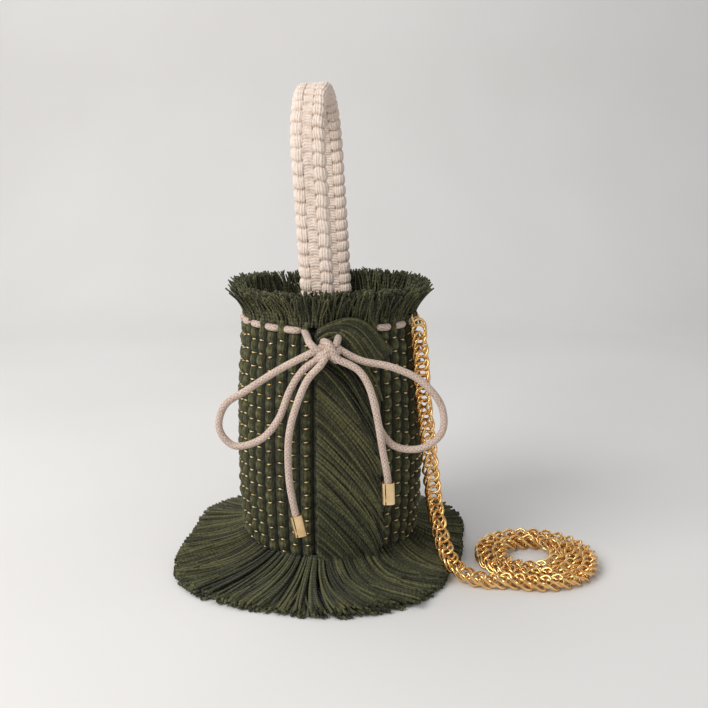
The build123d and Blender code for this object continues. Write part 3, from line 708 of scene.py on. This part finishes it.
loop_front = box_front("bow_loop_left")
tail_front = box_front("bow_tail_left")
cord("loop_left", "bow_loop_left", "loop_left", planar(loop_front, [
    (-5.5, 192.3), (-17, 186.5), (-34.9, 177), (-59.1, 161.4), (-77.4, 148.4), (-81.7, 130), (-71, 117.2),
    (-51, 121.8), (-37.1, 137.6), (-27.7, 160.8), (-17.5, 176.5), (-5.5, 185.6)]))
cord("loop_right", "bow_loop_right", "loop_right", planar(loop_front, [
    (7.5, 193), (24.7, 183.8), (48.6, 178.4), (71.1, 167.3), (86.5, 147.5), (86.9, 127.5),
    (71.9, 115.2), (52.1, 116.4), (40.6, 129.1), (35.2, 152.6), (25.5, 174), (7.5, 185.6)]))
cord("tail_left", "bow_tail_left", "tail_left", planar(tail_front, [
    (-3.6, 182.2), (-14, 170.5), (-23.2, 149), (-28.8, 125.6), (-28.8, 90.7), (-25, 67.5), (-22, 54)]))
cord("tail_right", "bow_tail_right", "tail_right", planar(tail_front, [
    (8.6, 185.6), (23, 178), (30.6, 167), (36.7, 145.9), (42.1, 114.6), (45.9, 93), (46.6, 80)]))


def lace():
    """Drawstring path: over and under the weave round the neck, then out to the knot."""
    azimuth = np.radians(np.linspace(8, 344, 400))
    over = smooth((np.cos(TAU * (azimuth / TAU * WINDOWS - 0.5)) + 0.55) * 1.2)
    over = over * smooth((azimuth - FLAP_COVER) / 0.05)
    radius = body_radius(NECK_HEIGHT) - 4.6 * MM + over * 4.4 * MM
    height = NECK_HEIGHT + 0.4 * MM * np.sin(5 * azimuth)
    ring = around(azimuth, radius, height) / MM
    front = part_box("bow_knot")[0][1] / MM
    right = [(2.0, front + 8.5, 190.6), (6.4, front + 9.0, 195.0), (8.6, -76.5, 199.6)]
    left = [(-15.5, -73.5, 199.6), (-12.2, front + 9.0, 196.4), (-7.0, front + 7.0, 192.0),
            (-1.0, front + 8.5, 190.2)]
    return np.concatenate([right, ring, left])


cord("lace", "drawstring", "bag", lace(), up=(0, 0, 1))

knot_low, knot_high = [corner / MM for corner in corners("bow_knot")]
knot_x = (knot_low[0] + knot_high[0]) / 2
knot_z = (knot_low[2] + knot_high[2]) / 2


def knot_wrap(name, tilt, shift, wide, tall, deep):
    """Turn of cord round the knot, tilted a little across the front."""
    angle = np.linspace(0, TAU, 40)
    lean = math.radians(tilt)
    across = wide * np.sin(angle)
    up = tall * np.cos(angle)
    depth = -deep * np.cos(angle - math.radians(90))
    x = knot_x + shift + across * math.cos(lean) + up * math.sin(lean)
    z = knot_z + up * math.cos(lean) - across * math.sin(lean)
    y = -loop_front + depth
    path = np.stack([x, y, z], 1) * MM
    return bundle(name, path[None], CORD, cord_braid, "bag", sides=CORD_SIDES,
                  up=(0.999, 0.02, 0.03))


piece = knot_wrap("knot_band", -32, 1.6, 2.6, 8.4, 6.6)
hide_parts("bow_knot")
knot_wrap("knot_turn", 38, -3.6, 2.2, 7.0, 5.6)
knot_wrap("knot_collar", 82, 1.0, 1.6, 7.6, 6.0)
cord("knot_cross_top", None, "bag", planar(loop_front, [
    (-7.0, 191.6), (-3, 193.2), (2, 193.4), (8.5, 192.7)]))
cord("knot_cross_low", None, "bag", planar(loop_front, [
    (-7.0, 184.7), (-2, 187), (4, 187), (8.5, 185.2)]))
cord("knot_tail_left", None, "bag", [
    (1.5, -loop_front - 2, 190), (-1, -tail_front + 1, 186.5), (-4.3, -tail_front, 181.6)])
cord("knot_tail_right", None, "bag", [
    (1.5, -loop_front - 2, 191), (4.5, -tail_front + 1, 188.6), (9.6, -tail_front, 185.3)])
for tip in ("cord_tip_left", "cord_tip_right"):
    dress(tip, pale_gold)

# ---------------------------------------------------------------- handle

pivot = np.array(packed_joint("handle_swing")["pos_m"])
span = np.array(packed_joint("handle_swing")["axis"])
span = span / np.linalg.norm(span)
sideways = np.array([span[1], -span[0], 0])
rise = np.array([0, 0, 1]) * math.cos(LEAN) - sideways * math.sin(LEAN)
LEG = (corners("handle_sinnet")[1][2] - pivot[2]) - HALF_SPAN - HANDLE_THICK / 2


def band_section():
    """Round-cornered outline of the band: distance along it, place across and deep, and its normals."""
    half_across = HANDLE_WIDTH / 2 - KNOT_DEPTH
    half_deep = HANDLE_THICK / 2 - KNOT_DEPTH
    flat_across = 2 * (half_across - HANDLE_CORNER)
    flat_deep = 2 * (half_deep - HANDLE_CORNER)
    quarter = HANDLE_CORNER * math.pi / 2
    perimeter = 2 * (flat_across + flat_deep) + 4 * quarter
    outline = np.arange(BAND_COLUMNS) / BAND_COLUMNS * perimeter
    flats = [flat_across, flat_deep, flat_across, flat_deep]
    signs = [(-1, -1), (1, -1), (1, 1), (-1, 1)]
    across = np.empty(BAND_COLUMNS)
    deep = np.empty(BAND_COLUMNS)
    normal_across = np.empty(BAND_COLUMNS)
    normal_deep = np.empty(BAND_COLUMNS)
    for k, distance in enumerate(outline):
        turn = 0
        while distance > flats[turn] + quarter and turn < 3:
            distance -= flats[turn] + quarter
            turn += 1
        flat = flats[turn]
        on_corner = max(0.0, distance - flat)
        theta = turn * math.pi / 2 + min(on_corner, quarter) / HANDLE_CORNER
        share = 1 if on_corner > 0 else min(distance, flat) / flat
        from_across, from_deep = signs[turn]
        to_across, to_deep = signs[(turn + 1) % 4]
        normal_across[k] = math.sin(theta)
        normal_deep[k] = -math.cos(theta)
        middle_across = (from_across + (to_across - from_across) * share) * (half_across - HANDLE_CORNER)
        middle_deep = (from_deep + (to_deep - from_deep) * share) * (half_deep - HANDLE_CORNER)
        across[k] = middle_across + HANDLE_CORNER * normal_across[k]
        deep[k] = middle_deep + HANDLE_CORNER * normal_deep[k]
    return outline, across, deep, normal_across, normal_deep


def rounding(distance, reach):
    """Share of the full width at a distance from an end that is rounded over a reach."""
    missing = np.clip(reach - distance, 0, None) / reach
    return np.sqrt(np.clip(1 - missing ** 2, 0.02, 1))


def sinnet(name, centre, outward, side, body, round_ends=0.0):
    """Square-knot band along a path: bumped side columns, a ribbed middle and fine strands."""
    length = np.concatenate([[0], np.cumsum(np.linalg.norm(np.diff(centre, axis=0), axis=1))])[:, None]
    outline, a, b, normal_across, normal_deep = band_section()
    wide_face = np.abs(normal_deep) > 0.5
    middle = smooth((KNOT_SEAM - np.abs(a)) / (0.9 * MM)) * wide_face
    left = a < 0
    facing = np.where(b < 0, 1, -1)
    phase = length / KNOT_PITCH + np.where(left, 0.0, 0.5)[None] + 0.06 * np.sin(a[None] * 700) + (
        0.10 * np.sin(length / (31 * MM)) + 0.05 * np.sin(length / (7.3 * MM)))
    cell = phase - np.floor(phase)
    brick = 1 - np.abs(2 * cell - 1) ** 3.2
    jitter = np.sin(np.floor(phase) * 12.9898 + np.where(left, 1.7, 4.1)[None]) * 0.5
    strand_phase = np.pi * outline[None] / (1.8 * MM) + 0.9 * np.sin(length / (5 * MM)) + jitter * 3
    fine = np.abs(np.sin(strand_phase)) ** 0.7
    outer = (1.6 * brick + 0.35 * jitter + 0.75 * (fine - 0.6)) * MM
    bar_phase = np.pi * length / (2.3 * MM) + 1.4 * np.cos(a[None] / KNOT_SEAM * 1.5) * facing[None]
    bar = np.abs(np.sin(bar_phase)) ** 0.7
    crown = np.abs(np.sin(np.pi * (length / KNOT_PITCH + 0.25))) ** 0.6
    cross = (0.2 + 0.85 * crown + 0.8 * (bar - 0.6)) * MM
    groove = -0.75 * MM * np.exp(-((np.abs(a) - KNOT_SEAM) / (0.55 * MM)) ** 2)[None] * wide_face
    swell = outer * (1 - middle[None]) + cross * middle[None] + groove
    across = a[None] + swell * normal_across[None]
    depth = b[None] + swell * normal_deep[None]
    if round_ends:
        across = across * (rounding(length, round_ends) * rounding(length[-1] - length, round_ends))
    points = centre[:, None] + side[:, None] * across[..., None] + outward[:, None] * depth[..., None]
    first_cap = centre[0] + 0 * points[:1]
    last_cap = centre[-1] + 0 * points[-1:]
    points = np.concatenate([first_cap, points, last_cap])
    # Painted shade: the tone follows the swell of the knots, so the grooves and the hollows between knots
    # come out darker; the small wave along the knots is a pattern.
    tone_and_shade = np.clip(0.35 + swell / (2.0 * MM) + 0.10 * np.sin(phase * 5), 0, 1)
    tone_and_shade = np.concatenate([tone_and_shade[:1], tone_and_shade, tone_and_shade[-1:]])
    return sheet(name, points, cream, body, (12, 60), closed=(False, True), tone_and_shade=tone_and_shade)


def handle_path(steps):
    """Centre line, outward and sideways directions of the whole arch."""
    start = -HANDLE_WIDTH / 2
    arc = math.pi * HALF_SPAN
    total = 2 * (LEG - start) + arc
    s = np.linspace(0, total, steps)
    leg = LEG - start
    turned = (s - leg) / HALF_SPAN
    going_up = s < leg
    going_down = s > leg + arc
    x = np.where(going_up, -HALF_SPAN, np.where(going_down, HALF_SPAN, -HALF_SPAN * np.cos(turned)))
    over_top = LEG + HALF_SPAN * np.sin(turned)
    y = np.where(going_up, start + s, np.where(going_down, start + total - s, over_top))
    angle = np.clip(turned, 0, math.pi)
    centre = pivot + x[:, None] * span + y[:, None] * rise
    outward = -np.cos(angle)[:, None] * span + np.sin(angle)[:, None] * rise
    side = np.broadcast_to(sideways * math.cos(LEAN) + np.array([0, 0, math.sin(LEAN)]), outward.shape)
    return centre, outward, side


centre, outward, side = handle_path(BAND_STEPS)
piece = sinnet("handle_band", centre, outward, side, "handle", round_ends=HANDLE_WIDTH / 2)
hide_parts("handle_sinnet")
dress("handle_filler_cords", cream)


def sewn_end(node_name, direction):
    """Straight piece of the same band, sewn down inside the rim."""
    low, high = corners(node_name)
    z = np.linspace(low[2], high[2] - 7 * MM, SEWN_STEPS)
    reach = HALF_SPAN + 2.2 * MM
    centre = pivot * np.array([1, 1, 0]) + direction * span * reach + z[:, None] * np.array([0, 0, 1])
    outward = np.broadcast_to(span * direction, centre.shape)
    side = np.broadcast_to(sideways, centre.shape)
    made = sinnet(node_name + "_band", centre, outward, side, "bag")
    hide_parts(node_name)


sewn_end("handle_end_front", -1)
sewn_end("handle_end_back", 1)

# ---------------------------------------------------------------- inside and base


def lining_sheet():
    """Loose cloth inside: soft vertical folds, closed by a thin second face."""
    low, high = corners("lining")
    azimuth = np.linspace(0, TAU, 240, endpoint=False)
    heights = np.linspace(low[2] + 1.5 * MM, high[2], 60)
    a, z = np.meshgrid(azimuth, heights)
    slack = np.sin(np.pi * (z - low[2]) / (high[2] - low[2]))
    fold = (np.sin(9 * a + 4 * z / 0.2) + 0.6 * np.sin(17 * a - 3)) * 0.9 * MM * slack
    radius = body_radius(z) - WALL - 1.2 * MM - 1.6 * MM * slack + fold * 0.6
    wall = around(a, radius, z)
    floor_radius = np.linspace(0.0005, 1, 24)[:, None] * radius[:1]
    ripple = 0.25 * MM * np.sin(floor_radius * 260) * np.cos(5 * a[:1])
    floor = around(np.repeat(a[:1], 24, 0), floor_radius, low[2] + 1.2 * MM + ripple)
    back = around(a[::-6], radius[::-6] + 0.6 * MM, z[::-6])
    under = floor[::-5] - np.array([0, 0, 0.6 * MM])
    points = np.concatenate([floor, wall, back, under])
    return sheet("lining_bag", points, lining_cloth, "bag", (30, 30), closed=(False, True),
                 tone_and_shade=np.full(points.shape[:2], 0.5))


piece = lining_sheet()
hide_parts("lining")


def binding_tape():
    """Tape folded over the raw edge of the mouth, slightly puckered by its stitches."""
    low, high = corners("rim_binding")
    count = 480
    azimuth = np.linspace(0, TAU, count, endpoint=False)
    profile = np.linspace(0, 1, 40, endpoint=False)
    a, p = np.meshgrid(azimuth, profile)
    middle = (low[2] + high[2]) / 2
    half = (high[2] - low[2]) / 2
    z = middle - half * np.cos(TAU * p)
    side_step = np.sin(TAU * p)
    pucker = 0.16 * MM * np.cos(60 * a) * (np.abs(np.cos(TAU * p)) > 0.75)
    radius = body_radius(z) - WALL - 0.75 * MM + side_step * 0.42 * MM + pucker
    return sheet("rim_tape", around(a, radius, z), lining_cloth, "bag", (60, 4),
                 closed=(True, True), tone_and_shade=np.full(a.shape, 0.6))


piece = binding_tape()
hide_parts("rim_binding")


def coiled_base():
    """Round base of wool rope coiled from the middle, flat where it rests on the floor."""
    low, high = corners("base_panel")
    edge = high[0]
    rope = 5.2 * MM
    rings = int(edge / rope)
    fine = rings * 8
    azimuth = np.linspace(0, TAU, 300, endpoint=False)
    radii = np.linspace(0.001, 1, fine)[:, None] * edge
    a = np.broadcast_to(azimuth[None], (fine, len(azimuth)))
    turn = radii / rope + a / TAU
    crown = np.abs(np.sin(np.pi * turn)) ** 0.6
    twist = 0.22 * MM * np.sin(radii / (1.3 * MM) + a * 90)
    under = around(a, radii * np.ones_like(a), low[2] + 0.9 * MM * (1 - crown) + np.abs(twist) * 0.5)
    over = around(a, radii * np.ones_like(a), high[2] - 0.9 * MM * (1 - crown))[::-1]
    points = np.concatenate([under, over])
    return sheet("base_coil", points, wool, "bag", (40, 20), closed=(True, True),
                 tone_and_shade=np.full(points.shape[:2], 0.5) + 0.25 * np.sin(points[..., 0] * 900))


piece = coiled_base()
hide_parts("base_panel")
dress("base_stiffener", board)


def yarn_tab(node_name, joint_name):
    """Whipped yarn loop that holds a side ring to the rim."""
    joint = packed_joint(joint_name)
    bar = np.array(joint["pos_m"])
    axis = np.array(joint["axis"]) / np.linalg.norm(joint["axis"])
    out = np.array([bar[0], bar[1], 0]) / math.hypot(bar[0], bar[1])
    inner = body_radius(bar[2]) - math.hypot(bar[0], bar[1]) + 0.6 * MM
    paths = []
    for turn in np.linspace(-2.1, 2.1, 5) * MM:
        angle = np.linspace(0, TAU, 33)
        x = np.where(np.cos(angle) > 0, 1.75 * MM * np.cos(angle), -inner * np.cos(angle))
        z = 1.75 * MM * np.sin(angle)
        paths.append(bar + out * x[:, None] + np.array([0, 0, 1]) * z[:, None] + axis * turn)
    made = bundle(node_name + "_yarn", np.array(paths), 0.55 * MM, fringe_yarn, "bag", sides=6,
                  up=tuple(axis))
    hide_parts(node_name)


# ---------------------------------------------------------------- rings, clip and chain

yarn_tab("ring_tab_right", "ring_right_swing")
yarn_tab("ring_tab_left", "ring_left_swing")

for part in ("side_ring_right", "side_ring_left", "end_ring", "clip_ring", "clip_pin", "clip_gate"):
    dress(part, gold)


def closed_loops(name, paths, normals, radius, material, body, sides=9):
    """Closed rings of round wire. paths and normals are (rings, points, 3)."""
    rings, points = paths.shape[:2]
    tangent = np.roll(paths, -1, 1) - np.roll(paths, 1, 1)
    tangent /= np.linalg.norm(tangent, axis=2, keepdims=True)
    side = np.cross(tangent, normals)
    side /= np.linalg.norm(side, axis=2, keepdims=True)
    lift = np.cross(side, tangent)
    angle = TAU * np.arange(sides) / sides
    wire = (np.cos(angle)[None, None, :, None] * side[:, :, None]
            + np.sin(angle)[None, None, :, None] * lift[:, :, None])
    verts = paths[:, :, None] + wire * radius
    quads, place = grid_faces(points, sides, wrap_rows=True, wrap_columns=True)
    offsets = (np.arange(rings) * points * sides)[:, None, None]
    faces = (quads[None] + offsets).reshape(-1, 4)
    across = int(math.ceil(math.sqrt(rings)))
    cell = np.stack([np.arange(rings) % across, np.arange(rings) // across], 1) / across
    atlas = (cell[:, None, None] + (place[None] * 0.9 + 0.05) / across).reshape(-1, 2)
    uv = np.broadcast_to(place[None], (rings, *place.shape)).reshape(-1, 2)
    return make_mesh(name, verts, faces, material, body, uv, atlas)


def chain_run(name, node_name, body, links, twist, lift=0.0):
    """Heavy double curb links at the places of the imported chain's paired links, loosely twisted."""
    middle = mesh_points(node_name).reshape(links, -1, 3).astype(float).mean(1).reshape(-1, 2, 3)
    station = middle.mean(1) + np.array([0, 0, lift])
    along = np.gradient(station, axis=0)
    along /= np.linalg.norm(along, axis=1, keepdims=True)
    face = middle[:, 1] - middle[:, 0]
    face -= along * np.sum(face * along, axis=1, keepdims=True)
    face /= np.linalg.norm(face, axis=1, keepdims=True)
    wide = np.cross(face, along)
    place = np.arange(len(station))
    roll = twist * (np.sin(place * 0.9 + 0.6) + 0.7 * np.sin(place * 0.41))[:, None]
    roll = roll * smooth((station[:, 2:] - 14 * MM) / (25 * MM))
    face, wide = face * np.cos(roll) + wide * np.sin(roll), wide * np.cos(roll) - face * np.sin(roll)
    theta = np.linspace(0, TAU, LINK_POINTS, endpoint=False)[None, :, None]
    paths = []
    normals = []
    for shift in (-1, 1):
        centre = station + face * shift * LINK_STACK + along * shift * LINK_STAGGER
        path = (centre[:, None] + along[:, None] * LINK_LONG * np.cos(theta)
                + wide[:, None] * LINK_WIDE * np.sin(theta)
                + face[:, None] * LINK_TWIST * np.sin(2 * theta))
        paths.append(path)
        normals.append(np.broadcast_to(face[:, None], path.shape))
    made = closed_loops(name, np.concatenate(paths), np.concatenate(normals), LINK_WIRE, gold, body)
    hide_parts(node_name)


chain_run("chain_links_top", "chain_upper", "chain_hanging_top", 2 * TOP_STATIONS, 0.55)
chain_run("chain_links_low", "chain_lower", "chain_hanging_bottom", 2 * LOW_STATIONS, 0.45, 0.5 * MM)
chain_run("chain_links_floor", "chain_coil", "chain_on_floor", 2 * FLOOR_STATIONS, 0.0, 0.5 * MM)

# ---------------------------------------------------------------- studio


def backdrop():
    """Pale floor that curves up into a wall."""
    width = 4.0
    front, back, bend, top = -1.6, 1.0, 0.5, 2.4
    profile = [(front, 0.0), (back, 0.0)]
    for step in range(1, 13):
        angle = math.radians(90 * step / 12)
        profile.append((back + bend * math.sin(angle), bend * (1 - math.cos(angle))))
    profile.append((back + bend, top))
    points = np.array([[(x, y, z) for x in np.linspace(-width, width, 5)] for y, z in profile])
    material, tree, shader = new_material("studio_paper", 0.9)
    shade = ramp(tree, noise(tree, 3, 2), [(0.3, (0.70, 0.685, 0.672)), (0.7, (0.735, 0.722, 0.71))])
    tree.links.new(shade, shader.inputs["Base Color"])
    quads = grid_faces(*points.shape[:2])[0]
    mesh = bpy.data.meshes.new("backdrop")
    mesh.from_pydata([tuple(p) for p in points.reshape(-1, 3)], [], [tuple(map(int, q)) for q in quads])
    for polygon in mesh.polygons:
        polygon.use_smooth = True
    mesh.materials.append(material)
    paper = bpy.data.objects.new("backdrop", mesh)
    bpy.context.scene.collection.objects.link(paper)


def area_light(name, place, target, size, power, colour=(1, 1, 1)):
    """Soft rectangular light aimed at a point."""
    data = bpy.data.lights.new(name, "AREA")
    data.shape = "RECTANGLE"
    data.size, data.size_y = size
    data.energy = power
    data.color = colour
    lamp = bpy.data.objects.new(name, data)
    bpy.context.scene.collection.objects.link(lamp)
    direction = np.array(target) - np.array(place)
    lamp.location = place
    yaw = math.atan2(direction[0], direction[1])
    pitch = math.atan2(direction[2], math.hypot(direction[0], direction[1]))
    lamp.rotation_euler = (math.pi / 2 + pitch, 0, -yaw)


backdrop()
area_light("key", (-1.15, -0.95, 1.25), (0, 0, 0.15), (1.2, 1.0), 29, (1.0, 0.985, 0.965))
area_light("fill", (1.3, -0.9, 0.8), (0, 0, 0.15), (1.2, 1.2), 2.6, (0.97, 0.98, 1.0))
area_light("back", (-0.7, 0.7, 1.6), (-0.25, 0.6, 0.1), (1.6, 0.8), 7.5)

world = bpy.data.worlds.new("studio_world")
world.use_nodes = True
world.node_tree.nodes["Background"].inputs["Color"].default_value = (0.93, 0.94, 0.95, 1)
world.node_tree.nodes["Background"].inputs["Strength"].default_value = 0.47
bpy.context.scene.world = world
bpy.context.scene.view_settings.view_transform = "Standard"

camera_data = bpy.data.cameras.new("camera")
camera_data.lens = 48.0
camera_data.sensor_width = 36.0
camera_data.clip_start = 0.01
camera = bpy.data.objects.new("camera", camera_data)
bpy.context.scene.collection.objects.link(camera)
camera.location = (0.0203, -0.7751, 0.3358)
camera.rotation_euler = (math.pi / 2 - 0.211, 0, 0)
bpy.context.scene.camera = camera
